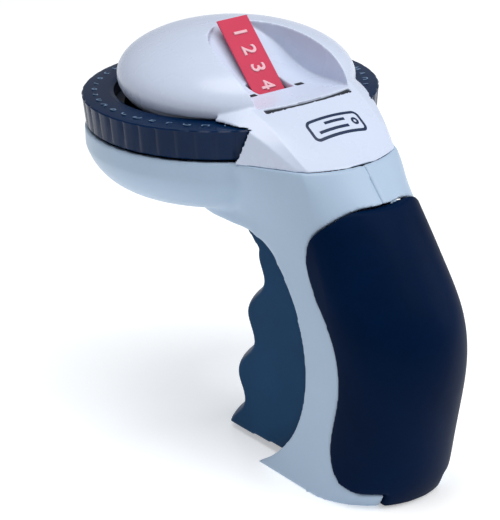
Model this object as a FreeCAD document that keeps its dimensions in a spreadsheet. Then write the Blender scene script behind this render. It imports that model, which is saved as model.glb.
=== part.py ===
import FreeCAD, Part
import Sketcher
import math
import os
from FreeCAD import Placement, Rotation, Vector

# A hand-held embossing label maker. Millimetres, +Z up, the front of the head points to -Y.
# The origin is the middle of the flat foot that it stands on. +X is the user's left.

doc = FreeCAD.newDocument("LabelMaker")
sheet = doc.addObject("Spreadsheet::Sheet", "Sizes")

DRIVING = [
    # shells
    ("wall", 2.0),
    ("gap", 0.45),
    # head: the wheel's top plane is tilted down at the front
    ("head_y", -57.0),
    ("head_z", 87.3),
    ("head_tilt", 2.7),
    ("seam_drop", 8.3),
    ("bowl_radius", 37.6),
    ("bowl_depth", 26.0),
    ("dome_half_width", 30.0),
    ("dome_half_length", 31.0),
    ("dome_rise", 12.4),
    ("dome_base", 4.1),
    ("skirt_radius", 29.3),
    # wheel of characters
    ("wheel_radius", 38.0),
    ("wheel_bore", 29.8),
    ("wheel_side", 7.6),
    ("wheel_characters", 46),
    ("die_outer", 35.0),
    ("die_inner", 30.2),
    ("die_thick", 1.8),
    # handle: the trigger opening is a circular arc seen from the side
    ("opening_y", -37.8),
    ("opening_z", 29.2),
    ("opening_radius", 33.5),
    # trigger
    ("trigger_half_width", 12.6),
    ("trigger_wall", 2.2),
    ("pivot_y", -36.0),
    ("pivot_z", 67.0),
    ("pivot_pin_radius", 1.5),
    ("trigger_arm", 12.0),
    ("arm_bar_radius", 1.8),
    ("arm_bar_z", 62.0),
    ("pivot_pin_length", 24.8),
    # chassis
    ("plate_inner", 7.2),
    ("plate_thick", 1.6),
    # tape
    ("tape_width", 9.5),
    ("tape_thick", 0.5),
    ("roll_y", 5.0),
    ("roll_z", 38.0),
    ("roll_radius", 16.5),
    ("core_radius", 6.0),
    ("spool_bore", 2.05),
    ("spool_pin_radius", 2.0),
    ("spool_pin_length", 17.6),
    # feed rollers
    ("feed_radius", 3.2),
    ("pinch_radius", 2.2),
    ("shaft_radius", 1.0),
    ("shaft_bore", 1.05),
    ("shaft_length", 17.4),
    ("feed_length", 8.8),
    ("pinch_length", 8.0),
    ("bore_length", 10.0),
    # rear door
    ("door_proud", 0.8),
    ("tongue_half_width", 8.8),
    # screws
    ("screw_radius", 1.3),
    ("screw_head_radius", 2.5),
]
for row, (alias, value) in enumerate(DRIVING, start=1):
    sheet.set("A%d" % row, alias.replace("_", " "))
    sheet.set("B%d" % row, str(value))
    sheet.setAlias("B%d" % row, alias)
doc.recompute()
D = {alias: float(sheet.get(alias)) for alias, _ in DRIVING}

NODES = []


def node(obj, label):
    """Registers a finished sub-part under the name of its file."""
    obj.Label = label
    NODES.append(obj)
    return obj


def bind(obj, **expressions):
    for prop, expression in expressions.items():
        obj.setExpression(prop, expression)
    return obj


def along_x(x, y, z):
    """Placement of a primitive whose axis runs along +X from (x, y, z)."""
    return Placement(Vector(x, y, z), Rotation(Vector(0, 1, 0), 90))


def rod(name, x0, y, z, radius, length):
    """A Part::Cylinder along X, its radius and length bound to the sheet."""
    obj = doc.addObject("Part::Cylinder", name)
    bind(obj, Radius=radius, Height=length)
    obj.Placement = along_x(x0, y, z)
    return obj


def boolean(kind, name, base, tool):
    obj = doc.addObject(kind, name)
    obj.Base = base
    obj.Tool = tool
    return obj


def feature(name, shape):
    obj = doc.addObject("Part::Feature", name)
    obj.Shape = shape
    return obj


def box(x0, x1, y0, y1, z0, z1):
    return Part.makeBox(x1 - x0, y1 - y0, z1 - z0, Vector(x0, y0, z0))


def disc_x(y, z, radius, x0, x1):
    """A solid cylinder along X between x0 and x1."""
    return Part.makeCylinder(radius, x1 - x0, Vector(x0, y, z), Vector(1, 0, 0))


def side_prism(edges, half_width):
    """A closed outline in the Y-Z plane, as a solid from -half_width to +half_width."""
    face = Part.Face(Part.Wire(edges))
    face.translate(Vector(-half_width, 0, 0))
    return face.extrude(Vector(2 * half_width, 0, 0))


def side_polygon(points, half_width):
    corners = [Vector(0, y, z) for y, z in points]
    return side_prism(Part.makePolygon(corners + corners[:1]).Edges, half_width)


def revolve(profile):
    """A solid of revolution about local Z from (radius, height) points."""
    points = [Vector(r, 0, n) for r, n in profile]
    wire = Part.makePolygon(points + points[:1])
    return Part.Face(wire).revolve(Vector(0, 0, 0), Vector(0, 0, 1), 360)


HEAD = Placement(Vector(0, D["head_y"], D["head_z"]), Rotation(Vector(1, 0, 0), D["head_tilt"]))


def on_head(shape):
    """Moves a shape drawn about the wheel's centre to its tilted place."""
    moved = shape.copy()
    moved.Placement = HEAD.multiply(moved.Placement)
    return moved


# ---- Outer and inner form of the handle ------------------------------------------------
# Each row is a level section: height, end of the flat side, half width, back, and the
# front edge's half width. The back is a circular arc; the sections are lofted together.
SECTIONS = [
    (0.0, -1.0, 19.0, 18.0, 18.4),
    (4.5, 0.0, 18.3, 20.2, 17.6),
    (12.0, 3.5, 17.6, 22.0, 17.0),
    (24.0, 6.2, 17.4, 24.3, 16.8),
    (38.0, 8.0, 17.4, 25.8, 16.6),
    (48.0, 6.0, 17.2, 23.4, 16.4),
    (58.0, 2.0, 16.6, 16.8, 16.2),
    (66.0, -2.5, 16.0, 10.8, 18.2),
    (74.0, -5.5, 15.3, 3.8, 21.6),
    (82.0, -10.0, 15.0, -3.6, 25.0),
    (90.0, -18.0, 15.0, -11.0, 25.6),
]
NECK_FRONT = -29.5


def handle_form(inset, low=0.0):
    """The handle and neck as one solid, shrunk by inset on every side; its floor is at low."""
    wires = []
    for height, side_end, half, back, front_half in SECTIONS:
        half, front_half, back = half - inset, front_half - inset, back - inset
        left = Vector(half, side_end, height)
        right = Vector(-half, side_end, height)
        front_left = Vector(front_half, NECK_FRONT, height)
        front_right = Vector(-front_half, NECK_FRONT, height)
        wires.append(Part.Wire([
            Part.makeLine(front_right, front_left),
            Part.makeLine(front_left, left),
            Part.Arc(left, Vector(0, back, height), right).toShape(),
            Part.makeLine(right, front_right),
        ]))
    solid = Part.makeLoft(wires, True, False)
    if low > 0:
        solid = solid.cut(box(-40, 40, -80, 60, -1, low))
    return solid


def bowl_form(inset):
    """The round underside of the head, about the tilted wheel axis."""
    radius = D["bowl_radius"] - inset
    depth = D["bowl_depth"] - inset
    top, straight = -D["seam_drop"], -13.0
    edge = [
        Part.makeLine(Vector(0, 0, top), Vector(radius, 0, top)),
        Part.makeLine(Vector(radius, 0, top), Vector(radius, 0, straight)),
        Part.Arc(Vector(radius, 0, straight), Vector(radius - 3.6, 0, straight - 6.4),
                 Vector(radius - 11.5, 0, -depth + 2.2)).toShape(),
        Part.makeLine(Vector(radius - 11.5, 0, -depth + 2.2), Vector(0, 0, -depth)),
        Part.makeLine(Vector(0, 0, -depth), Vector(0, 0, top)),
    ]
    face = Part.Face(Part.Wire(edge))
    return on_head(face.revolve(Vector(0, 0, 0), Vector(0, 0, 1), 360))


def dome_form(inset):
    """The upper half of an ellipsoid over the wheel."""
    ball = Part.makeSphere(1.0, Vector(0, 0, 0), Vector(0, 0, 1), -90, 90, 360)
    scale = FreeCAD.Matrix()
    scale.scale(D["dome_half_width"] - inset, D["dome_half_length"] - inset, D["dome_rise"] - inset)
    shape = ball.transformGeometry(scale)
    shape.translate(Vector(0, D["head_y"] + 2.5, D["head_z"] + D["dome_base"]))
    return shape


def shoulder_form(inset):
    """The sloping back of the top cover between the dome and the neck, as lofted sections."""
    rows = [
        # y, half width below the seam, side edge, crease, crown height
        (-33.0, 29.0, (22.8, 90.0), (17.0, 94.5), 97.4),
        (-27.0, 27.0, (20.7, 89.5), (15.8, 92.2), 94.0),
        (-20.0, 21.8, (18.6, 87.0), (15.2, 89.2), 91.2),
        (-12.0, 17.8, (15.7, 82.6), (14.4, 84.2), 86.8),
        (-3.0, 13.6, (12.4, 77.0), (11.6, 78.2), 80.9),
    ]
    wires = []
    for y, low_half, (side_half, side_z), (crease_half, crease_z), crown in rows:
        corners = [(low_half - inset, 70.0), (side_half - inset, side_z - inset / 2),
                   (crease_half - inset, crease_z - inset)]
        left = [Vector(x, y, z) for x, z in corners]
        right = [Vector(-x, y, z) for x, z in reversed(corners)]
        top = Part.Arc(left[-1], Vector(0, y, crown - inset), right[0]).toShape()
        wires.append(Part.Wire(
            [Part.makeLine(a, b) for a, b in zip(left, left[1:])] + [top]
            + [Part.makeLine(a, b) for a, b in zip(right, right[1:])]
            + [Part.makeLine(right[-1], left[0])]))
    return Part.makeLoft(wires, True, False)


def throat_form(inset):
    """The fairing under the bowl that carries it down to the top of the trigger opening."""
    rows = [
        # y, half width, lowest height
        (-60.0, 14.0, 63.4),
        (-52.0, 17.0, 61.3),
        (-43.0, 18.0, 59.4),
        (-34.0, 17.5, 58.0),
        (-24.0, 17.0, 57.0),
    ]
    wires = []
    for y, half, low in rows:
        half, low = half - inset, low + inset
        left, right = Vector(half, y, low + 2.0), Vector(-half, y, low + 2.0)
        top_left, top_right = Vector(half + 2, y, 76.0), Vector(-half - 2, y, 76.0)
        wires.append(Part.Wire([
            Part.makeLine(top_left, left),
            Part.Arc(left, Vector(0, y, low), right).toShape(),
            Part.makeLine(right, top_right),
            Part.makeLine(top_right, top_left),
        ]))
    return Part.makeLoft(wires, True, False)


def below_seam(raise_by=0.0):
    """Everything under the tilted plane where the top cover meets the two side shells."""
    top = -D["seam_drop"] + raise_by
    return on_head(box(-80, 80, -80, 140, top - 140, top))


def above_seam(raise_by=0.0):
    bottom = -D["seam_drop"] + raise_by
    return on_head(box(-80, 80, -80, 140, bottom, bottom + 60))


opening = disc_x(D["opening_y"], D["opening_z"], D["opening_radius"], -40, 40)
neck_slot = box(-D["trigger_half_width"] - 0.6, D["trigger_half_width"] + 0.6, -41.0, -20.0, 50, 66)

outer_handle = handle_form(0).cut(opening)
inner_handle = handle_form(D["wall"], D["wall"])
opening_below = opening.common(box(-40, 40, -90, 40, -20, 61.0))
outer_low = outer_handle.fuse(bowl_form(0)).fuse(throat_form(0).cut(opening_below)).common(below_seam())
inner_low = inner_handle.fuse(bowl_form(D["wall"])).fuse(throat_form(D["wall"])).common(below_seam(1.0))

# ---- Rear door outline, seen from the side ---------------------------------------------
DOOR_TOP = 73.2
DOOR_BOTTOM = 4.4
DOOR_EDGE = [
    (-1.0, 69.4), (-4.7, 61.3), (-1.2, 53.5), (6.2, 44.3), (9.3, 30.0), (6.8, 13.0), (9.9, 6.0),
]


def door_prism(grow):
    """The side outline of the rear door, grown by a clearance, as a prism across the handle."""
    outline = [Vector(0, y, z) for y, z in DOOR_EDGE]
    moved = []
    for i, point in enumerate(outline):
        along = outline[min(i + 1, len(outline) - 1)] - outline[max(i - 1, 0)]
        away = Vector(0, along.z, -along.y).normalize()
        moved.append(point + away * grow)
    front = Part.BSplineCurve()
    front.interpolate(moved)
    start = Vector(0, 2.2, DOOR_TOP + grow)
    end = Vector(0, 13.0, DOOR_BOTTOM - grow)
    far_top, far_low = Vector(0, 60, start.z), Vector(0, 60, end.z)
    return side_prism([
        Part.makeLine(far_low, far_top),
        Part.makeLine(far_top, start),
        Part.makeLine(start, front.StartPoint),
        front.toShape(),
        Part.makeLine(front.EndPoint, end),
        Part.makeLine(end, far_low),
    ], 40)


TONGUE_HALF = D["tongue_half_width"]
tongue_room = box(-TONGUE_HALF - 0.35, TONGUE_HALF + 0.35, 12.6, 40, -1, DOOR_BOTTOM + 1)
door_hole = door_prism(D["gap"]).fuse(tongue_room)

# ---- Side shells -----------------------------------------------------------------------
SCREW_SPOTS = [(-84.0, 67.2, 18.0), (-8.0, 68.5, 14.6), (9.0, 9.0, 16.0)]


def side_shell(name, side):
    """One half of the bowl, neck and handle: side is +1 for the left and -1 for the right."""
    skin = outer_low.cut(inner_low)
    bosses = [disc_x(y, z, 3.0, -reach, reach).common(outer_low) for y, z, reach in SCREW_SPOTS]
    body = skin.multiFuse(bosses).cut(door_hole).cut(neck_slot)
    half = box(0, 60, -140, 60, -5, 120) if side > 0 else box(-60, 0, -140, 60, -5, 120)
    body = body.common(half)
    for y, z, reach in SCREW_SPOTS:
        body = body.cut(disc_x(y, z, D["screw_radius"], -60, 9.0))
        if side < 0:
            body = body.cut(disc_x(y, z, D["screw_head_radius"] + 0.1, -60, -reach + 6.0))
    return feature(name, max(body.Solids, key=lambda solid: solid.Volume))


node(side_shell("LeftShell", 1), "left_shell")
node(side_shell("RightShell", -1), "right_shell")

# ---- Case screws: three from the right side --------------------------------------------
screws = []
for y, z, reach in SCREW_SPOTS:
    head_x = -reach + 6.0
    shank = Part.makeCylinder(D["screw_radius"], 7.0 - head_x, Vector(head_x, y, z), Vector(1, 0, 0))
    head = Part.makeCylinder(D["screw_head_radius"], 1.8, Vector(head_x - 1.8, y, z), Vector(1, 0, 0))
    cross = box(head_x - 2, head_x - 0.9, y - 1.6, y + 1.6, z - 0.3, z + 0.3).fuse(
        box(head_x - 2, head_x - 0.9, y - 0.3, y + 0.3, z - 1.6, z + 1.6))
    screws.append(shank.fuse(head).cut(cross))
node(feature("CaseScrews", Part.makeCompound(screws)), "case_screws")

# ---- Top cover -------------------------------------------------------------------------
outer_top = dome_form(0).fuse(shoulder_form(0))
outer_top = outer_top.common(above_seam(0.02))
inner_top = dome_form(D["wall"]).fuse(shoulder_form(D["wall"]))
wheel_room = on_head(revolve([(D["wheel_bore"] - 0.5, -12), (D["wheel_radius"] + 0.6, -12),
                              (D["wheel_radius"] + 0.6, -0.2), (D["wheel_radius"] - 0.8, 0.5),
                              (D["wheel_radius"] - 6.8, 1.1),
                              (D["wheel_bore"] - 0.5, 1.1)]))
front_room = on_head(Part.makeCylinder(60, 12, Vector(0, 0, -11.0))).common(
    box(-80, 80, -140, -57 + 30.6, 60, 89)).cut(on_head(Part.makeCylinder(
        D["wheel_bore"] - 0.5, 40, Vector(0, 0, -20))))

# the leaf-shaped scoop under the tape: plan outline from the dome's front to the slot
scoop_side = Part.BSplineCurve()
scoop_side.interpolate([Vector(0, -59.5, 0), Vector(9.2, -54.0, 0), Vector(14.0, -43.0, 0),
                        Vector(15.0, -33.0, 0), Vector(13.4, -23.8, 0)])
scoop_edge = scoop_side.toShape()
scoop_mirror = scoop_edge.mirror(Vector(0, 0, 0), Vector(1, 0, 0))
scoop_rear = Part.Arc(Vector(13.4, -23.8, 0), Vector(0, -22.2, 0), Vector(-13.4, -23.8, 0)).toShape()
scoop_plan = Part.Face(Part.Wire(Part.__sortEdges__([scoop_edge, scoop_rear, scoop_mirror])))
scoop_plan.translate(Vector(0, 0, 80))
scoop_column = scoop_plan.extrude(Vector(0, 0, 40))
SCOOP_FLOOR = [(-62.0, 106.0), (-57.5, 102.6), (-50.0, 96.4), (-45.0, 92.8), (-40.0, 91.5),
               (-30.0, 91.9), (-20.0, 92.4)]


def over_floor(drop):
    """The space above the scoop's floor, which curves up to the front."""
    floor = Part.BSplineCurve()
    floor.interpolate([Vector(0, y, z - drop) for y, z in SCOOP_FLOOR])
    first, last = floor.StartPoint, floor.EndPoint
    high = 120.0
    return side_prism([
        floor.toShape(),
        Part.makeLine(last, Vector(0, last.y, high)),
        Part.makeLine(Vector(0, last.y, high), Vector(0, first.y, high)),
        Part.makeLine(Vector(0, first.y, high), first),
    ], 30)


scoop = scoop_column.common(over_floor(0))
SCOOP_MIDDLE = Vector(0, -40.0, 0)
thicken = FreeCAD.Matrix()
thicken.move(SCOOP_MIDDLE * -1)
thicken.scale(1.11, 1.09, 1.0)
thicken.move(SCOOP_MIDDLE)
scoop_lining = scoop_column.transformGeometry(thicken).common(over_floor(D["wall"]))
SLOT_WIDTH = 1.7
slot_front = scoop_rear.copy()
slot_back = scoop_rear.translated(Vector(0, SLOT_WIDTH, 0))
slot_ends = [Part.makeLine(Vector(x, -23.8, 0), Vector(x, -23.8 + SLOT_WIDTH, 0)) for x in (13.4, -13.4)]
slot = Part.Face(Part.Wire(Part.__sortEdges__([slot_front, slot_back] + slot_ends)))
slot.translate(Vector(0, -2.6, 86.0))
slot = slot.extrude(Vector(0, 0, 20))
clip_windows = [box(x - 1.2, x + 1.2, -38.8, -37.4, 88, 94) for x in (-7.4, 7.4)]
tape_exit = box(-5.4, 5.4, -43.8, -37.6, 85, 96)
cover = outer_top.cut(scoop).cut(inner_top.cut(scoop_lining))
cover = cover.cut(wheel_room).cut(front_room).cut(Part.makeCompound([tape_exit, slot] + clip_windows))
SKIRT_INNER = 26.9
SKIRT_LOW = -2.9
hub_room = revolve([(0, -43), (D["skirt_radius"] + 1.0, -43), (D["skirt_radius"] + 1.0, SKIRT_LOW),
                    (SKIRT_INNER, SKIRT_LOW), (SKIRT_INNER, 0.9), (0, 0.9)])
plate_room = box(-9.6, 9.6, 18, 30, -12, -0.4)
cover = cover.cut(on_head(hub_room.fuse(plate_room)))
node(feature("TopCover", max(cover.Solids, key=lambda solid: solid.Volume)), "top_cover")

# ---- Wheel of characters, with its two rings of dies -----------------------------------
wheel_outer, wheel_bore = D["wheel_radius"], D["wheel_bore"]
wheel = revolve([(wheel_bore, -D["wheel_side"]), (wheel_outer - 0.9, -D["wheel_side"]),
                 (wheel_outer, -0.4), (wheel_outer - 0.5, 0.0), (wheel_outer - 7.2, 0.7),
                 (wheel_bore, 0.2)])
groove = Part.makeCylinder(0.55, 12, Vector(wheel_outer + 0.15, 0, -9.5))
count = int(D["wheel_characters"])
grooves = [groove.rotated(Vector(0, 0, 0), Vector(0, 0, 1), 360.0 * (i + 0.5) / count)
           for i in range(count)]
node(feature("CharacterWheel", on_head(wheel.cut(Part.makeCompound(grooves)))), "character_wheel")

UPPER_DIE = -7.8
LOWER_DIE = -12.4


def die_ring(name, top):
    """An annular die plate with one rounded finger for each character."""
    body = doc.addObject("PartDesign::Body", name)
    plane = [part for part in body.Origin.OriginFeatures if part.Role == "XY_Plane"][0]
    axis = [part for part in body.Origin.OriginFeatures if part.Role == "Z_Axis"][0]
    sketch = body.newObject("Sketcher::SketchObject", name + "Ring")
    sketch.AttachmentSupport = (plane, "")
    sketch.MapMode = "FlatFace"
    centre = Vector(0, 0, 0)
    up = Vector(0, 0, 1)
    outer = sketch.addGeometry(Part.Circle(centre, up, D["die_outer"]), False)
    inner = sketch.addGeometry(Part.Circle(centre, up, D["die_inner"]), False)
    for index, alias in ((outer, "die_outer"), (inner, "die_inner")):
        number = sketch.addConstraint(Sketcher.Constraint("Radius", index, D[alias]))
        sketch.setExpression("Constraints[%d]" % number, "Sizes." + alias)
    pad = body.newObject("PartDesign::Pad", name + "Pad")
    pad.Profile = sketch
    pad.setExpression("Length", "Sizes.die_thick")
    doc.recompute()
    slot_sketch = body.newObject("Sketcher::SketchObject", name + "Slot")
    slot_sketch.AttachmentSupport = (plane, "")
    slot_sketch.MapMode = "FlatFace"
    slot_sketch.addGeometry(Part.Circle(Vector(D["die_outer"], 0, 0), up, 0.9), False)
    pocket = body.newObject("PartDesign::Pocket", name + "Cut")
    pocket.Profile = slot_sketch
    pocket.Type = "ThroughAll"
    pocket.Midplane = True
    doc.recompute()
    pattern = body.newObject("PartDesign::PolarPattern", name + "Pattern")
    pattern.Originals = [pocket]
    pattern.Axis = (axis, [""])
    pattern.Angle = 360
    pattern.Occurrences = count
    body.Tip = pattern
    body.Placement = HEAD.multiply(Placement(Vector(0, 0, top), Rotation()))
    doc.recompute()
    return body


node(die_ring("UpperDies", UPPER_DIE - D["die_thick"]), "upper_die_ring")
node(die_ring("LowerDies", LOWER_DIE - D["die_thick"]), "lower_die_ring")

# ---- Hub that the wheel turns on -------------------------------------------------------
HUB_BOTTOM = -15.2
HUB_TOP = -3.2
HUB_RADIUS = D["wheel_bore"] - 0.08
hub = revolve([(27.2, HUB_BOTTOM + 1.6), (27.2, HUB_TOP), (HUB_RADIUS, HUB_TOP),
               (HUB_RADIUS, HUB_BOTTOM + 0.6),
               (33.0, HUB_BOTTOM + 0.6), (33.0, HUB_BOTTOM), (9.5, HUB_BOTTOM),
               (9.5, HUB_BOTTOM + 1.6)])
hub = hub.cut(box(-9.9, 9.9, 8, 40, HUB_BOTTOM - 1, HUB_BOTTOM + 3))
hub = hub.cut(box(-9.6, 9.6, 20, 36, HUB_BOTTOM, 2))
node(feature("WheelHub", on_head(hub)), "wheel_hub")

# ---- Chassis: two side plates and their cross webs -------------------------------------
plate_in, plate_thick = D["plate_inner"], D["plate_thick"]
plate_out = plate_in + plate_thick
PLATE_OUTLINE = [(-42.0, 63.5), (-30.0, 63.5), (-27.5, 66.4), (-16.0, 66.4), (-6.0, 45.0), (-3.0, 32.0),
                 (5.0, 30.0), (11.0, 36.0), (8.0, 44.0), (1.0, 60.0), (-5.0, 72.0), (-29.6, 71.6),
                 (-29.6, 85.6), (-32.0, 86.6), (-35.0, 86.6), (-39.0, 82.4), (-42.0, 76.0)]
slab = side_polygon(PLATE_OUTLINE, plate_out)
chassis = slab.cut(box(-plate_in, plate_in, -60, 30, 20, 100))
webs = [box(-plate_in, plate_in, -28.0, -20.0, 69.5, 71.6),
        box(-plate_in, plate_in, -42.0, -40.0, 66.5, 76.0),
        box(-plate_in, plate_in, -11.0, -9.0, 62.0, 69.0).common(slab)]
chassis = chassis.multiFuse(webs)
FEED_Y, FEED_Z = -35.9, 80.3
PINCH_Y, PINCH_Z = -31.6, 84.6
PAWL_Y, PAWL_Z = -35.0, 75.3
BLADE_Y = -38.2
PUNCH_Y = D["pivot_y"] + D["trigger_arm"]
PUNCH_HALF = 2.4
holes = [disc_x(D["pivot_y"], D["pivot_z"], D["pivot_pin_radius"], -20, 20),
         disc_x(FEED_Y, FEED_Z, D["shaft_bore"], -20, 20),
         disc_x(PAWL_Y, PAWL_Z, D["shaft_radius"], -20, 20),
         disc_x(D["roll_y"], D["roll_z"], D["spool_pin_radius"], -20, 20),
         disc_x(-8.0, 68.5, 3.1, -20, 20),
         box(-PUNCH_HALF - 0.35, PUNCH_HALF + 0.35, PUNCH_Y - PUNCH_HALF - 0.35,
             PUNCH_Y + PUNCH_HALF + 0.35, 60, 80)]
chassis = chassis.cut(Part.makeCompound(holes))
chassis = chassis.cut(disc_x(PINCH_Y, PINCH_Z, D["shaft_radius"], -20, 20))
node(feature("Chassis", max(chassis.Solids, key=lambda solid: solid.Volume)), "chassis_frame")

# ---- Trigger ---------------------------------------------------------------------------
TRIGGER_TOP, TRIGGER_BOTTOM = 62.0, 1.4
WAVE_PITCH = 18.0
WAVE_HIGH_Z = 18.6


def trigger_front(z):
    """Forward reach of the trigger's middle: a straight lean with three finger waves."""
    lean = -44.6 + 0.222 * z
    wave = 2.3 * math.cos(2 * math.pi * (z - WAVE_HIGH_Z) / WAVE_PITCH)
    return lean - wave * min(1.0, (66.0 - z) / 16.0)


def trigger_form(inset, low, high):
    """The trigger's outer form, rounded in front, from level sections a few mm apart."""
    half = D["trigger_half_width"] - inset
    wires = []
    steps = 16
    for i in range(steps + 1):
        z = low + (high - low) * i / steps
        front = trigger_front(z) + inset
        shoulder = front + 5.6
        left, right = Vector(half, shoulder, z), Vector(-half, shoulder, z)
        back_left, back_right = Vector(half, 12, z), Vector(-half, 12, z)
        wires.append(Part.Wire([
            Part.makeLine(back_right, right),
            Part.Arc(right, Vector(0, front, z), left).toShape(),
            Part.makeLine(left, back_left),
            Part.makeLine(back_left, back_right),
        ]))
    return Part.makeLoft(wires, True, False)


reach = disc_x(D["opening_y"], D["opening_z"], D["opening_radius"] + 4.6, -40, 40)
trigger_outer = trigger_form(0, TRIGGER_BOTTOM, TRIGGER_TOP).common(reach)
trigger_inner = trigger_form(D["trigger_wall"], TRIGGER_BOTTOM - 2, TRIGGER_TOP + 3)
foot_relief = side_polygon([(-40, 0), (20, 0), (20, 2.5), (-20.5, 2.5), (-39.4, 1.2), (-40, 1.2)], 30)
half = D["trigger_half_width"]
ears = side_polygon([(-39.8, 68.0), (-36.0, 70.6), (-32.2, 68.0), (-22.0, 63.6), (-22.0, 60.2),
                     (-25.0, 56.0), (-28.0, 54.0), (-33.0, 58.0), (-37.0, 63.0)], half).cut(
    box(-half + D["trigger_wall"], half - D["trigger_wall"], -60, 0, 50, 80))
bar = disc_x(PUNCH_Y, D["arm_bar_z"], D["arm_bar_radius"], -half, half)
trigger = trigger_outer.cut(trigger_inner).cut(foot_relief).multiFuse([ears, bar])
trigger = trigger.cut(disc_x(D["pivot_y"], D["pivot_z"], D["pivot_pin_radius"] + 0.05, -20, 20))
node(feature("Trigger", max(trigger.Solids, key=lambda solid: solid.Volume)), "trigger")

node(rod("PivotPin", -12.4, D["pivot_y"], D["pivot_z"], "Sizes.pivot_pin_radius",
         "Sizes.pivot_pin_length"),
     "trigger_pivot_pin")


def coil(radius, pitch, height, wire):
    """A helical compression spring, closed at both ends by the sweep's own caps."""
    helix = Part.makeHelix(pitch, height, radius)
    ring = Part.Wire(Part.makeCircle(wire, Vector(radius, 0, 0), Vector(0, 1, 0)))
    return Part.Wire(helix.Edges).makePipeShell([ring], True, True)


spring = coil(2.6, 1.3, 9.0, 0.4)
spring.Placement = along_x(-4.5, D["pivot_y"], D["pivot_z"])
node(feature("TriggerSpring", spring), "trigger_return_spring")

# ---- Punch plunger and its spring ------------------------------------------------------
FLANGE_LOW = D["arm_bar_z"] + D["arm_bar_radius"] + 0.3
plunger = box(-PUNCH_HALF, PUNCH_HALF, PUNCH_Y - PUNCH_HALF, PUNCH_Y + PUNCH_HALF, FLANGE_LOW, 71.9)
plunger = plunger.fuse(box(-4.6, 4.6, PUNCH_Y - 4.6, PUNCH_Y + 4.6, FLANGE_LOW, FLANGE_LOW + 1.0))
node(feature("Plunger", plunger), "punch_plunger")
spring = coil(3.9, 1.2, 3.6, 0.38)
spring.translate(Vector(0, PUNCH_Y, FLANGE_LOW + 1.4))
node(feature("PlungerSpring", spring), "plunger_return_spring")

# ---- Guide that leads the tape from the dies to the rollers ----------------------------
GUIDE_HALF = 5.0
guide = side_polygon([(-28.0, 71.6), (-27.2, 71.6), (-27.4, 76.9), (-28.8, 76.9), (-30.6, 75.4)], GUIDE_HALF)
node(feature("TapeGuide", guide), "tape_guide")

# ---- Feed roller with its ratchet, pinch roller ----------------------------------------
shaft = rod("FeedShaft", -8.7, FEED_Y, FEED_Z, "Sizes.shaft_radius", "Sizes.shaft_length")
node(shaft, "feed_shaft")
sleeve = rod("FeedSleeveBody", -4.4, FEED_Y, FEED_Z, "Sizes.feed_radius", "Sizes.feed_length")
sleeve_bore = rod("FeedSleeveBore", -5, FEED_Y, FEED_Z, "Sizes.shaft_radius", "Sizes.bore_length")
node(boolean("Part::Cut", "FeedSleeve", sleeve, sleeve_bore), "feed_roller")
teeth = 12
ratchet_points = []
for i in range(teeth):
    a = 2 * math.pi * i / teeth
    ratchet_points.append((FEED_Y + 2.3 * math.cos(a), FEED_Z + 2.3 * math.sin(a)))
    ratchet_points.append((FEED_Y + 3.0 * math.cos(a), FEED_Z + 3.0 * math.sin(a)))
ratchet = side_polygon(ratchet_points, 0.6)
ratchet.translate(Vector(5.6, 0, 0))
ratchet = ratchet.cut(disc_x(FEED_Y, FEED_Z, D["shaft_radius"], -20, 20))
node(feature("Ratchet", ratchet), "ratchet_wheel")
pinch_pin = rod("PinchPin", -8.7, PINCH_Y, PINCH_Z, "Sizes.shaft_radius", "Sizes.shaft_length")
node(pinch_pin, "pinch_roller_pin")
pinch = rod("PinchBody", -4.0, PINCH_Y, PINCH_Z, "Sizes.pinch_radius", "Sizes.pinch_length")
pinch_bore = rod("PinchBore", -5, PINCH_Y, PINCH_Z, "Sizes.shaft_bore", "Sizes.bore_length")
node(boolean("Part::Cut", "Pinch", pinch, pinch_bore), "pinch_roller")

# ---- Pawl that turns the ratchet -------------------------------------------------------
pawl = side_polygon([(PAWL_Y + y, PAWL_Z + z) for y, z in
                     ((-1.6, -1.0), (1.4, -1.0), (1.8, 1.0), (-0.4, 1.3))], 0.5)
pawl = pawl.fuse(disc_x(PAWL_Y, PAWL_Z, 1.4, -0.5, 0.5))
pawl.translate(Vector(5.7, 0, 0))
pawl = pawl.cut(disc_x(PAWL_Y, PAWL_Z, D["shaft_radius"] + 0.05, -20, 20))
node(feature("Pawl", pawl), "feed_pawl")
node(rod("PawlPin", -8.7, PAWL_Y, PAWL_Z, "Sizes.shaft_radius", "Sizes.shaft_length"), "pawl_pin")

# ---- Cutter blade and exit guide -------------------------------------------------------
blade = box(-5.0, 5.0, BLADE_Y - 0.3, BLADE_Y + 0.3, 0, 5.0)
bevel = side_polygon([(BLADE_Y - 0.4, 4.4), (BLADE_Y + 0.4, 5.2), (BLADE_Y - 0.4, 5.2)], 20)
blade = blade.cut(bevel)
blade.translate(Vector(0, -2.2, 82.2))
node(feature("Blade", blade), "cutter_blade")
node(feature("BladePost", box(-plate_in, plate_in, -41.8, -40.8, 76.0, 86.4)), "cutter_holder")

# ---- Tape: spool, roll, strip ----------------------------------------------------------
spool_pin = rod("SpoolPin", -8.8, D["roll_y"], D["roll_z"], "Sizes.spool_pin_radius",
                "Sizes.spool_pin_length")
node(spool_pin, "spool_pin")
flanges = [disc_x(D["roll_y"], D["roll_z"], 9.0, x, x + 1.0) for x in (-6.2, 5.2)]
spool = disc_x(D["roll_y"], D["roll_z"], D["core_radius"], -6.2, 6.2).multiFuse(flanges)
spool = spool.cut(disc_x(D["roll_y"], D["roll_z"], D["spool_bore"], -20, 20))
node(feature("Spool", spool), "tape_spool")
tape_half = D["tape_width"] / 2
roll = disc_x(D["roll_y"], D["roll_z"], D["roll_radius"], -tape_half, tape_half).cut(
    disc_x(D["roll_y"], D["roll_z"], D["core_radius"], -20, 20))
node(feature("TapeRoll", roll), "tape_roll")

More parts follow.
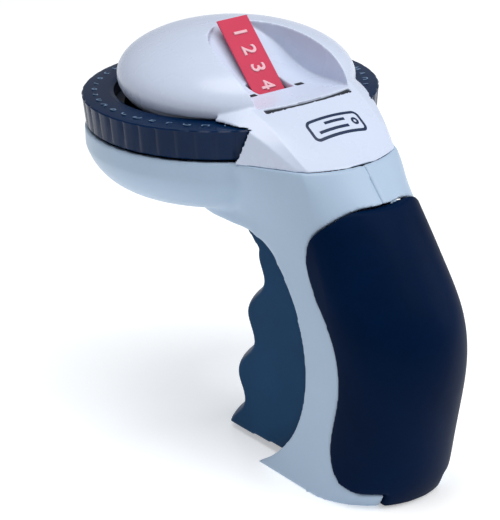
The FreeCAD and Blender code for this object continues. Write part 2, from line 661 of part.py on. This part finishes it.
# The strip leaves the roll, climbs the neck, passes between the dies and rises out.
ROUTE = [(-12.1, 40.0), (-12.6, 57.0), (-15.6, 70.5), (-19.4, 76.6), (-23.4, 77.8), (-28.4, 77.9),
         (-40.4, 89.7), (-56.4, 105.4)]


def ribbon(points, width, thick):
    """A flat strip across X that follows a side route, mitred at each corner."""
    above, below = [], []
    for i, (y, z) in enumerate(points):
        before = points[max(i - 1, 0)]
        after = points[min(i + 1, len(points) - 1)]
        into = Vector(0, y - before[0], z - before[1])
        out = Vector(0, after[0] - y, after[1] - z)
        directions = [step.normalize() for step in (into, out) if step.Length > 0]
        along = (directions[0] + directions[-1]).normalize()
        stretch = 1 / along.dot(directions[0])
        aside = Vector(0, -along.z, along.y) * (thick / 2 * stretch)
        above.append((y + aside.y, z + aside.z))
        below.append((y - aside.y, z - aside.z))
    return side_polygon(above + below[::-1], width / 2)


strip = ribbon(ROUTE, D["tape_width"], D["tape_thick"])
node(feature("TapeStrip", strip), "tape_strip")

# ---- Rear door: pulls straight back off the handle by the tongue at its foot -------------
door = handle_form(-D["door_proud"]).cut(handle_form(1.4)).common(door_prism(0))
tongue = handle_form(-D["door_proud"]).cut(handle_form(3.0)).common(
    box(-TONGUE_HALF, TONGUE_HALF, 13.0, 40, 0.3, DOOR_BOTTOM + 2))
door = door.fuse(tongue)
node(feature("RearDoor", max(door.Solids, key=lambda solid: solid.Volume)), "rear_door")

# ---- Check and export ------------------------------------------------------------------
doc.recompute()
for obj in doc.Objects:
    if "Invalid" in obj.State or "Error" in obj.State:
        raise RuntimeError("failed object: " + obj.Name)
os.makedirs("parts", exist_ok=True)
for obj in NODES:
    shape = obj.Shape
    if shape.isNull() or not shape.isValid():
        raise RuntimeError("bad shape: " + obj.Label)
    shape.exportStep(os.path.join("parts", obj.Label + ".step"))
    box_of = shape.BoundBox
    print("%-24s solids %d volume %8.1f  x %6.1f %6.1f  y %6.1f %6.1f  z %6.1f %6.1f" % (
        obj.Label, len(shape.Solids), shape.Volume, box_of.XMin, box_of.XMax, box_of.YMin,
        box_of.YMax, box_of.ZMin, box_of.ZMax))
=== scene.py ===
import math

import bmesh
import bpy
from mathutils import Matrix, Vector


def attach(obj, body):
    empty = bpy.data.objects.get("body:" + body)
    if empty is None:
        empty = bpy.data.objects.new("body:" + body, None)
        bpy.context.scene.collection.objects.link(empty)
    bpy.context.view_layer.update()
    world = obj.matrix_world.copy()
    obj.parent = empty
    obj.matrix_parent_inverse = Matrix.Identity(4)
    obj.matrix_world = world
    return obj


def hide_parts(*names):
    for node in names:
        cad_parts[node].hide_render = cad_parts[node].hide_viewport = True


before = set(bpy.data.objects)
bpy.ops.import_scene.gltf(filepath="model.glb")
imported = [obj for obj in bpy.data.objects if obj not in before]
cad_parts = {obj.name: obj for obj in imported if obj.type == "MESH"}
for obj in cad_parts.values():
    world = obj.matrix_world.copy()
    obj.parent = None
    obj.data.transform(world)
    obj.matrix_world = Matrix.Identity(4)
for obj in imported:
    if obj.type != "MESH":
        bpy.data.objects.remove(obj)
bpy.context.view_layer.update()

MM = 0.001

CAMERA_TARGET = Vector((0, -48.665, 41.51)) * MM
CAMERA_DISTANCE = 625.176 * MM
CAMERA_AZIMUTH, CAMERA_ELEVATION = 142.433, 23.237
CAMERA_LENS, CAMERA_SENSOR = 166.04, 36.0

# name, azimuth and elevation in degrees, distance and size in metres, power in watts
LAMPS = [
    ("key", 215, 52, 0.9, 0.5, 2.7),
    ("back_rim", 245, 18, 0.8, 0.3, 1.0),
    ("top", 110, 82, 0.9, 0.6, 4.4),
]
LAMPS_AIM = Vector((0, -30.0, 50.0)) * MM
FLOOR_REACH = 6.0

# The head's own axes: the wheel's centre, and its tilt about X in degrees.
HEAD_CENTRE = Vector((0, -57.0, 87.3)) * MM
HEAD_TILT = 2.7
HEAD = Matrix.Translation(HEAD_CENTRE) @ Matrix.Rotation(math.radians(HEAD_TILT), 4, "X")

# The seam between shells and cover: its height where it meets the plane at SEAM_Y, and its slope.
SEAM_HEIGHT, SEAM_Y, SEAM_SLOPE = 79.0, -27, 0.047

# The wheel: the characters on its ring, their size, place and slope, and the grip's ribs.
CHARACTERS = "1234567890ABCDEFGHIJKLMNOPQRSTUVWXYZ&-+./=?!:#"
CHARACTER_SIZE, CHARACTER_DEPTH = 3.4, 0.06
CHARACTER_PLACE = Vector((0, -34.3, 0.36)) * MM
RING_SLOPE = -6.0
STEPS_PER_RIB, GROOVE_STEEPNESS, GRIP_SHARP_FROM = 8, 2.6, 35

# The cover's slot and clip windows: plan places of the dark strips of painted shade in them, and heights
# of the tops.
SLOT_HALF, SLOT_BOW_HALF, SLOT_Y, SLOT_BOW = 13.2, 13.4, -24.0, 1.6
SLOT_WIDTH, SLOT_TOP, SLOT_POINTS = 1.6, 91.8, 17
CLIP_X, CLIP_HALF, CLIP_Y, CLIP_WIDTH, CLIP_TOP = 7.4, 1.15, -38.1, 1.3, 91.35
PAINTED_SHADE_THICK = 1.2

# The tag sign printed on the cover's back slope, in plan: outline, corner, hole and two rules.
TAG_LEFT, TAG_RIGHT, TAG_BACK, TAG_FRONT, TAG_CORNER = -8.5, 7.1, -17.6, -12.6, 1.2
TAG_HOLE, TAG_HOLE_RADIUS = (-6.5, -15.1), 0.7
TAG_RULES = [((-3.9, -14.2), (5.1, -14.2)), ((-3.9, -16.1), (2.3, -16.1))]
TAG_LINE, TAG_HOLE_LINE, TAG_LIFT, TAG_ROOT = 0.7, 0.6, 0.07, 0.1
ABOVE_COVER = 130.0

# The tape: its section, its route in Y and Z from the roll to its free end, and its digits.
TAPE_HALF_WIDTH, TAPE_HALF_THICK, TAPE_EDGE = 4.75 * MM, 0.24 * MM, 0.25 * MM
TAPE_ROUTE = [(-12.1, 40.0), (-12.6, 57.0), (-15.6, 70.5), (-19.4, 76.6), (-23.4, 77.8),
              (-28.4, 77.9), (-40.4, 89.7), (-56.3, 105.3)]
DIGIT_SIZE, DIGIT_FIRST, DIGIT_STEP = 5.6, 4.4, 5.2
DIGIT_DEPTH, DIGIT_LIFT = 0.12, 0.3


# ---- Camera, floor and light -------------------------------------------------------------
def look_from(azimuth, elevation):
    """Unit vector from the object towards a viewer at that azimuth and elevation."""
    a, e = math.radians(azimuth), math.radians(elevation)
    return Vector((math.sin(a) * math.cos(e), -math.cos(a) * math.cos(e), math.sin(e)))


def add_camera():
    data = bpy.data.cameras.new("camera")
    data.lens = CAMERA_LENS
    data.sensor_width = CAMERA_SENSOR
    data.clip_start, data.clip_end = 0.02, 20.0
    camera = bpy.data.objects.new("camera", data)
    bpy.context.collection.objects.link(camera)
    back = look_from(CAMERA_AZIMUTH, CAMERA_ELEVATION)
    camera.location = CAMERA_TARGET + back * CAMERA_DISTANCE
    camera.rotation_euler = (-back).to_track_quat("-Z", "Y").to_euler()
    bpy.context.scene.camera = camera


def area_light(name, azimuth, elevation, distance, size, power):
    data = bpy.data.lights.new(name, "AREA")
    data.shape = "DISK"
    data.size = size
    data.energy = power
    light = bpy.data.objects.new(name, data)
    bpy.context.collection.objects.link(light)
    towards = look_from(azimuth, elevation)
    light.location = LAMPS_AIM + towards * distance
    light.rotation_euler = (-towards).to_track_quat("-Z", "Y").to_euler()


def add_studio():
    """Soft pale light all round, which the camera sees as plain white, and the lamps."""
    world = bpy.data.worlds.new("studio")
    world.use_nodes = True
    tree = world.node_tree
    ambient = tree.nodes["Background"]
    ambient.inputs["Color"].default_value = (0.95, 0.975, 1.0, 1)
    ambient.inputs["Strength"].default_value = 0.27
    backdrop = tree.nodes.new("ShaderNodeBackground")
    backdrop.inputs["Color"].default_value = (1, 1, 1, 1)
    backdrop.inputs["Strength"].default_value = 1.0
    path = tree.nodes.new("ShaderNodeLightPath")
    choose = tree.nodes.new("ShaderNodeMixShader")
    tree.links.new(path.outputs["Is Camera Ray"], choose.inputs[0])
    tree.links.new(ambient.outputs["Background"], choose.inputs[1])
    tree.links.new(backdrop.outputs["Background"], choose.inputs[2])
    tree.links.new(choose.outputs["Shader"], tree.nodes["World Output"].inputs["Surface"])
    scene = bpy.context.scene
    scene.world = world
    scene.view_settings.view_transform = "Standard"
    for lamp in LAMPS:
        area_light(*lamp)


def add_floor():
    mesh = bpy.data.meshes.new("floor")
    corners = [(x * FLOOR_REACH, y * FLOOR_REACH, 0) for x, y in ((-1, -1), (1, -1), (1, 1), (-1, 1))]
    mesh.from_pydata(corners, [], [(0, 1, 2, 3)])
    floor = bpy.data.objects.new("floor", mesh)
    bpy.context.collection.objects.link(floor)
    material = bpy.data.materials.new("pale_floor")
    material.use_nodes = True
    shader = material.node_tree.nodes["Principled BSDF"]
    shader.inputs["Base Color"].default_value = (0.93, 0.94, 0.95, 1)
    shader.inputs["Roughness"].default_value = 0.25
    shader.inputs["Emission Color"].default_value = (1, 1, 1, 1)
    shader.inputs["Emission Strength"].default_value = 0.4
    mesh.materials.append(material)


# ---- Materials ---------------------------------------------------------------------------
CLOUD_SIZE, GRIT_SIZE, SMUDGE_SIZE = 22, 1.2, 9
GRIT_SHARE, GRAIN_HEIGHT = 0.6, 0.05

# Each finish: its colour, roughness, height of grain and strength of specks, then what differs
# from a plain plastic. grain_size is in mm, and sheen is how strongly it mirrors.
FINISHES = {
    # The shells' white plastic, darkened to paint the shade on their near side; it is the same plastic as
    # the cover's dome_white, which stays nearer its own colour.
    "white_plastic": dict(colour=(0.42, 0.54, 0.69), roughness=0.34, grain=0.1, speck=0.02, sheen=0.25),
    "dome_white": dict(colour=(0.63, 0.7, 0.86), roughness=0.26, grain=0.06, speck=0.02, sheen=0.4),
    "navy_gloss": dict(colour=(0.001, 0.016, 0.06), roughness=0.24, grain=0.08, speck=0.12, sheen=0.14),
    "navy_soft": dict(colour=(0.0002, 0.0085, 0.037), roughness=0.45, grain=0.3, speck=0.15,
                      grain_size=0.3, sheen=0.03),
    "trigger_blue": dict(colour=(0.002, 0.045, 0.12), roughness=0.4, grain=0.25, speck=0.12,
                         grain_size=0.4, sheen=0.06),
    "steel": dict(colour=(0.55, 0.56, 0.58), roughness=0.3, grain=0.3, speck=0.1,
                  grain_size=0.5, metallic=1.0, stretch=(1, 8, 8)),
    "spring_steel": dict(colour=(0.42, 0.43, 0.46), roughness=0.28, grain=0.2, speck=0.1,
                         grain_size=0.3, metallic=1.0),
    "inner_plastic": dict(colour=(0.012, 0.02, 0.04), roughness=0.45, grain=0.3, speck=0.15),
    "acetal": dict(colour=(0.66, 0.66, 0.62), roughness=0.4, grain=0.15, speck=0.05),
    "rubber": dict(colour=(0.02, 0.02, 0.022), roughness=0.7, grain=0.5, speck=0.2),
    "tape_red": dict(colour=(0.62, 0.045, 0.1), roughness=0.35, grain=0.1, speck=0.06, sheen=0.2),
    "stress_white": dict(colour=(0.84, 0.5, 0.56), roughness=0.45, grain=0.3, speck=0.12,
                         grain_size=0.2, sheen=0.3),
    "print_navy": dict(colour=(0.004, 0.02, 0.07), roughness=0.4, grain=0.1, speck=0.08),
    "character_white": dict(colour=(0.16, 0.26, 0.4), roughness=0.4, grain=0.1, speck=0.08),
    "shadow_black": dict(colour=(0.006, 0.009, 0.016), roughness=0.6, grain=0.2, speck=0.15),
}


def moulded(name, colour, roughness, grain, speck, grain_size=0.35, metallic=0.0,
            stretch=(1, 1, 1), sheen=0.5):
    """A procedural finish: cloudy colour, smudged roughness and fine grain in the bump."""
    material = bpy.data.materials.new(name)
    material.use_nodes = True
    tree = material.node_tree
    nodes, link = tree.nodes, tree.links.new
    shader = nodes["Principled BSDF"]
    shader.inputs["Metallic"].default_value = metallic
    shader.inputs["Specular IOR Level"].default_value = sheen
    place = nodes.new("ShaderNodeTexCoord")
    mapping = nodes.new("ShaderNodeMapping")
    mapping.inputs["Scale"].default_value = stretch
    link(place.outputs["Object"], mapping.inputs["Vector"])

    def noise(size_mm, detail):
        made = nodes.new("ShaderNodeTexNoise")
        made.inputs["Scale"].default_value = 1.0 / (size_mm * MM)
        made.inputs["Detail"].default_value = detail
        link(mapping.outputs["Vector"], made.inputs["Vector"])
        return made.outputs["Fac"]

    def ramp(value, low, high):
        made = nodes.new("ShaderNodeValToRGB")
        made.color_ramp.elements[0].position = 0.3
        made.color_ramp.elements[0].color = (*low, 1)
        made.color_ramp.elements[1].position = 0.7
        made.color_ramp.elements[1].color = (*high, 1)
        link(value, made.inputs["Fac"])
        return made.outputs["Color"]

    darker = tuple(c * (1 - speck) for c in colour)
    lighter = tuple(min(1.0, c * (1 + speck)) for c in colour)
    clouds = ramp(noise(CLOUD_SIZE, 3), darker, lighter)
    grit = ramp(noise(GRIT_SIZE, 6), (1 - speck,) * 3, (1, 1, 1))
    mix = nodes.new("ShaderNodeMix")
    mix.data_type = "RGBA"
    mix.blend_type = "MULTIPLY"
    mix.inputs["Factor"].default_value = GRIT_SHARE
    link(clouds, mix.inputs["A"])
    link(grit, mix.inputs["B"])
    link(mix.outputs["Result"], shader.inputs["Base Color"])
    smudge = nodes.new("ShaderNodeMapRange")
    smudge.inputs["To Min"].default_value = max(0.02, roughness - 0.06)
    smudge.inputs["To Max"].default_value = roughness + 0.08
    link(noise(SMUDGE_SIZE, 4), smudge.inputs["Value"])
    link(smudge.outputs["Result"], shader.inputs["Roughness"])
    bump = nodes.new("ShaderNodeBump")
    bump.inputs["Strength"].default_value = grain
    bump.inputs["Distance"].default_value = GRAIN_HEIGHT * MM
    link(noise(grain_size, 3), bump.inputs["Height"])
    link(bump.outputs["Normal"], shader.inputs["Normal"])
    return material


# ---- Pieces ------------------------------------------------------------------------------
def new_object(name, mesh, material, body, smooth=True):
    """A piece with one material that rides on a body."""
    made = bpy.data.objects.new(name, mesh)
    bpy.context.collection.objects.link(made)
    mesh.materials.clear()
    mesh.materials.append(MATERIALS[material])
    for polygon in mesh.polygons:
        polygon.use_smooth = smooth
    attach(made, body)
    return made


def skin(work, rings, wrap=False):
    """Joins each ring of vertices to the next: the last to the first if wrap, else both capped."""
    pairs = list(zip(rings, rings[1:]))
    if wrap:
        pairs.append((rings[-1], rings[0]))
    for a, b in pairs:
        for i in range(len(a)):
            j = (i + 1) % len(a)
            work.faces.new((a[i], a[j], b[j], b[i]))
    if not wrap:
        work.faces.new(rings[0][::-1])
        work.faces.new(rings[-1])


def finished_mesh(work, name):
    """The mesh of a bmesh, with its normals outwards."""
    bmesh.ops.recalc_face_normals(work, faces=work.faces)
    mesh = bpy.data.meshes.new(name)
    work.to_mesh(mesh)
    work.free()
    return mesh


def applied(made):
    """Puts the result of an object's modifiers in its mesh."""
    graph = bpy.context.evaluated_depsgraph_get()
    mesh = bpy.data.meshes.new_from_object(made.evaluated_get(graph))
    made.modifiers.clear()
    old = made.data
    made.data = mesh
    bpy.data.meshes.remove(old)
    for polygon in mesh.polygons:
        polygon.use_smooth = True


def smooth_where(made, weight, rounds):
    """Smooths an object's mesh where weight(point) is over zero."""
    group = made.vertex_groups.new(name="smoothed")
    for vertex in made.data.vertices:
        amount = weight(vertex.co)
        if amount > 0:
            group.add([vertex.index], amount, "REPLACE")
    modifier = made.modifiers.new("smooth", "SMOOTH")
    modifier.vertex_group = "smoothed"
    modifier.factor = 0.5
    modifier.iterations = rounds
    applied(made)
    made.vertex_groups.clear()


def moulded_copy(node, material, body, voxel, rounds):
    """A soft-edged moulding with the form of a CAD node, remeshed at voxel mm."""
    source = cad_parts[node]
    mesh = source.data.copy()
    mesh.transform(source.matrix_world)
    work = bmesh.new()
    work.from_mesh(mesh)
    bmesh.ops.remove_doubles(work, verts=work.verts, dist=0.0005 * MM)
    work.to_mesh(mesh)
    work.free()
    made = new_object(node + "_moulding", mesh, material, body)
    remesh = made.modifiers.new("remesh", "REMESH")
    remesh.mode = "VOXEL"
    remesh.voxel_size = voxel * MM
    remesh.use_smooth_shade = True
    soften = made.modifiers.new("soften", "SMOOTH")
    soften.factor = 0.5
    soften.iterations = rounds
    applied(made)
    made.data.materials.clear()
    made.data.materials.append(MATERIALS[material])
    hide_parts(node)
    return made


def window(value, low, high, soft):
    """1 between low and high, fading to 0 over soft on each side."""
    return max(0.0, min(1.0, (value - low) / soft + 1, (high - value) / soft + 1))


def neck_corner(point):
    """How strongly a point belongs to the corner between the bowl, the fairing and the neck,
    as a box in mm with soft sides that stops short of the seam."""
    x, y, z = (c / MM for c in point)
    seam = SEAM_HEIGHT + SEAM_SLOPE * (y - SEAM_Y)
    sideways = window(abs(x), 7, 32, 3)
    return sideways * window(y, -60, -14, 5) * window(z, 57, seam - 1.5, 1.5)


def add_mouldings():
    """The five plastic mouldings seen from outside. Returns the cover, which carries a print."""
    # The shells take the white plastic darkened with painted shade.
    for node in ("left_shell", "right_shell"):
        shell = moulded_copy(node, "white_plastic", "housing", voxel=0.5, rounds=2)
        smooth_where(shell, neck_corner, rounds=40)
    cover = moulded_copy("top_cover", "dome_white", "housing", voxel=0.28, rounds=2)
    moulded_copy("rear_door", "navy_soft", "door", voxel=0.4, rounds=4)
    moulded_copy("trigger", "trigger_blue", "trigger_body", voxel=0.45, rounds=4)
    return cover


def ring_point(angle, radius, height):
    """A point of the head's own frame, by its angle round the axis."""
    return Vector((radius * math.sin(angle), radius * math.cos(angle), height))


def add_wheel():
    """The character wheel: a grip with one rib for each character, and a sloping ring."""
    total = len(CHARACTERS) * STEPS_PER_RIB
    rows = [
        # radius and height of the profile, and how deep the grip's grooves cut there
        (29.8, -7.6, 0.0), (36.9, -7.6, 0.0), (37.3, -7.2, 0.35), (37.9, -1.0, 0.45), (38.0, -0.3, 0.3),
        (37.7, 0.0, 0.1), (37.2, 0.05, 0.0), (31.2, 0.68, 0.0), (30.6, 0.6, 0.0), (29.8, 0.2, 0.0),
    ]
    work = bmesh.new()
    rings = []
    for radius, height, depth in rows:
        ring = []
        for i in range(total):
            phase = i / STEPS_PER_RIB
            from_groove = abs((phase % 1.0) - 0.5) * 2
            cut = depth * max(0.0, 1 - from_groove * GROOVE_STEEPNESS)
            angle = 2 * math.pi * i / total
            ring.append(work.verts.new(ring_point(angle, (radius - cut) * MM, height * MM)))
        rings.append(ring)
    skin(work, rings, wrap=True)
    mesh = finished_mesh(work, "character_wheel_grip")
    mesh.transform(HEAD)
    wheel = new_object("character_wheel_grip", mesh, "navy_gloss", "wheel")
    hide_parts("character_wheel")
    wheel.data.set_sharp_from_angle(angle=math.radians(GRIP_SHARP_FROM))


def text_mesh(text, size, depth, bevel=0.0):
    """The mesh of a raised character, centred on its origin."""
    curve = bpy.data.curves.new("text", "FONT")
    curve.body = text
    curve.size = size
    curve.extrude = depth
    curve.bevel_depth = bevel
    curve.bevel_resolution = 2
    curve.align_x = "CENTER"
    curve.align_y = "CENTER"
    holder = bpy.data.objects.new("text", curve)
    bpy.context.collection.objects.link(holder)
    graph = bpy.context.evaluated_depsgraph_get()
    mesh = bpy.data.meshes.new_from_object(holder.evaluated_get(graph))
    bpy.data.objects.remove(holder)
    return mesh


def joined(name, meshes, material, body, smooth=False):
    """One piece from many placed meshes."""
    work = bmesh.new()
    for mesh in meshes:
        work.from_mesh(mesh)
    bmesh.ops.remove_doubles(work, verts=work.verts, dist=0.001 * MM)
    mesh = bpy.data.meshes.new(name)
    work.to_mesh(mesh)
    work.free()
    return new_object(name, mesh, material, body, smooth)


def add_wheel_characters():
    """Numbers and letters round the sloping ring of the wheel, upright towards its centre."""
    slope = Matrix.Rotation(math.radians(RING_SLOPE), 4, "X")
    placed = []
    for i, character in enumerate(CHARACTERS):
        mesh = text_mesh(character, CHARACTER_SIZE * MM, CHARACTER_DEPTH * MM)
        turn = Matrix.Rotation(2 * math.pi * i / len(CHARACTERS), 4, "Z")
        mesh.transform(HEAD @ turn @ Matrix.Translation(CHARACTER_PLACE) @ slope)
        placed.append(mesh)
    marks = joined("wheel_characters", placed, "character_white", "wheel")


def add_tape():
    """The tape from the roll to its free end: a soft-edged ribbon, with raised pale digits."""
    half, thick, flat = TAPE_HALF_WIDTH, TAPE_HALF_THICK, TAPE_HALF_WIDTH - TAPE_EDGE
    profile = [(-half, -thick * 0.5), (-half, thick * 0.5), (-flat, thick), (flat, thick),
               (half, thick * 0.5), (half, -thick * 0.5), (flat, -thick), (-flat, -thick)]
    across = Vector((1, 0, 0))
    work = bmesh.new()
    rings = []
    stations = [Vector((0, y, z)) * MM for y, z in TAPE_ROUTE]
    for i, centre in enumerate(stations):
        into = (centre - stations[max(i - 1, 0)]).normalized()
        out = (stations[min(i + 1, len(stations) - 1)] - centre).normalized()
        along = (into + out).normalized()
        # a mitred bend is taller than the tape is thick
        stretch = 1 / along.dot(into if into.length else out)
        upward = along.cross(across)
        rings.append([work.verts.new(centre + across * x + upward * h * stretch) for x, h in profile])
    skin(work, rings)
    tape = new_object("tape_ribbon", finished_mesh(work, "tape_ribbon"), "tape_red", "housing",
                      smooth=False)
    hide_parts("tape_strip")
    placed = []
    tip = stations[-1]
    along = (tip - stations[-2]).normalized()
    upward = along.cross(across)
    basis = Matrix((along, upward.cross(along), upward)).transposed().to_4x4()
    for i, digit in enumerate("1234"):
        mesh = text_mesh(digit, DIGIT_SIZE * MM, DIGIT_DEPTH * MM, DIGIT_DEPTH * MM)
        centre = tip - along * (DIGIT_FIRST + DIGIT_STEP * i) * MM + upward * DIGIT_LIFT * MM
        mesh.transform(Matrix.Translation(centre) @ basis @ Matrix.Rotation(math.pi, 4, "Z"))
        placed.append(mesh)
    digits = joined("tape_digits", placed, "stress_white", "housing")


def draped_band(surface, line, width, closed=False):
    """A thin raised band that follows a plan line in mm over the top of a surface."""
    work = bmesh.new()
    count = len(line)
    rings = []
    for i in range(count):
        before = Vector(line[i - 1] if closed or i else line[0])
        after = Vector(line[(i + 1) % count] if closed else line[min(i + 1, count - 1)])
        along = (after - before).normalized()
        aside = Vector((-along.y, along.x)) * width / 2
        ring = []
        for plan in (Vector(line[i]) - aside, Vector(line[i]) + aside):
            start = Vector((plan.x, plan.y, ABOVE_COVER)) * MM
            found, place, _, _ = surface.ray_cast(start, Vector((0, 0, -1)))
            if not found:
                raise RuntimeError("a mark misses its surface")
            ring.append(place)
        low_a, low_b = (work.verts.new(v - Vector((0, 0, TAG_ROOT * MM))) for v in ring)
        high_a, high_b = (work.verts.new(v + Vector((0, 0, TAG_LIFT * MM))) for v in ring)
        rings.append((low_a, high_a, high_b, low_b))
    skin(work, rings, wrap=closed)
    return finished_mesh(work, "band")


def rounded_box(x0, x1, y0, y1, radius, steps=6):
    """Plan points round a rounded rectangle."""
    points = []
    for cx, cy, start in ((x1 - radius, y1 - radius, 0), (x0 + radius, y1 - radius, 90),
                          (x0 + radius, y0 + radius, 180), (x1 - radius, y0 + radius, 270)):
        for i in range(steps + 1):
            a = math.radians(start + 90 * i / steps)
            points.append((cx + radius * math.cos(a), cy + radius * math.sin(a)))
    return points


def circle(centre, radius, steps=16):
    """Plan points round a circle."""
    turns = [2 * math.pi * i / steps for i in range(steps)]
    return [(centre[0] + radius * math.cos(t), centre[1] + radius * math.sin(t)) for t in turns]


def spread(a, b, steps=16):
    """Plan points along a straight line."""
    return [(a[0] + (b[0] - a[0]) * i / steps, a[1] + (b[1] - a[1]) * i / steps)
            for i in range(steps + 1)]


def flat_strip(line, width, height, thick):
    """A level strip along a plan line in mm, with its top at height."""
    work = bmesh.new()
    rings = []
    for i, point in enumerate(line):
        before, after = Vector(line[max(i - 1, 0)]), Vector(line[min(i + 1, len(line) - 1)])
        along = (after - before).normalized()
        aside = Vector((-along.y, along.x)) * width / 2
        a, b = Vector(point) - aside, Vector(point) + aside
        rings.append([work.verts.new(Vector((v.x, v.y, z)) * MM)
                      for v, z in ((a, height - thick), (a, height), (b, height), (b, height - thick))])
    skin(work, rings)
    return finished_mesh(work, "strip")


def add_cover_painted_shade():
    """Dark strips of painted shade inside the arc slot and the two clip windows of the scoop."""
    arc = []
    for i in range(SLOT_POINTS):
        x = -SLOT_HALF + 2 * SLOT_HALF * i / (SLOT_POINTS - 1)
        arc.append((x, SLOT_Y - SLOT_BOW * (x / SLOT_BOW_HALF) ** 2))
    meshes = [flat_strip(arc, SLOT_WIDTH, SLOT_TOP, PAINTED_SHADE_THICK)]
    for x in (-CLIP_X, CLIP_X):
        across = [(x - CLIP_HALF, CLIP_Y), (x + CLIP_HALF, CLIP_Y)]
        meshes.append(flat_strip(across, CLIP_WIDTH, CLIP_TOP, PAINTED_SHADE_THICK))
    # One dark piece that paints the shade inside the slot and the windows.
    painted_shade_strips = joined("slot_painted_shade", meshes, "shadow_black", "housing")


def add_cover_marks(cover):
    """A plain printed tag sign on the back slope: an outline, its hole and two rules."""
    corners = rounded_box(TAG_LEFT, TAG_RIGHT, TAG_BACK, TAG_FRONT, TAG_CORNER)
    outline = []
    for a, b in zip(corners, corners[1:] + corners[:1]):
        outline += spread(a, b)[:-1]
    meshes = [draped_band(cover, outline, TAG_LINE, closed=True),
              draped_band(cover, circle(TAG_HOLE, TAG_HOLE_RADIUS), TAG_HOLE_LINE, closed=True)]
    for a, b in TAG_RULES:
        meshes.append(draped_band(cover, spread(a, b), TAG_LINE))
    tag = joined("cover_tag_sign", meshes, "print_navy", "housing")


# ---- CAD nodes that are shown as they are -------------------------------------------------
CAD_FINISH = {
    "steel": ["case_screws", "chassis_frame", "trigger_pivot_pin", "punch_plunger", "feed_shaft",
              "pinch_roller_pin", "feed_pawl", "pawl_pin", "cutter_blade"],
    "spring_steel": ["trigger_return_spring", "plunger_return_spring"],
    "inner_plastic": ["upper_die_ring", "lower_die_ring", "wheel_hub"],
    "acetal": ["tape_guide", "ratchet_wheel", "pinch_roller", "cutter_holder", "spool_pin", "tape_spool"],
    "rubber": ["feed_roller"],
    "tape_red": ["tape_roll"],
}


def finish_cad_nodes():
    """Gives each CAD node that stays in view its material."""
    for material, nodes in CAD_FINISH.items():
        for node in nodes:
            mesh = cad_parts[node].data
            if not mesh.materials:
                mesh.materials.append(None)  # makes a slot to fill
            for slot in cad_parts[node].material_slots:
                slot.link = "DATA"
                slot.material = MATERIALS[material]


# ---- The scene ---------------------------------------------------------------------------
MATERIALS = {name: moulded(name, **finish) for name, finish in FINISHES.items()}
add_camera()
add_studio()
add_floor()
finish_cad_nodes()
add_cover_marks(add_mouldings())
add_cover_painted_shade()
add_wheel()
add_wheel_characters()
add_tape()
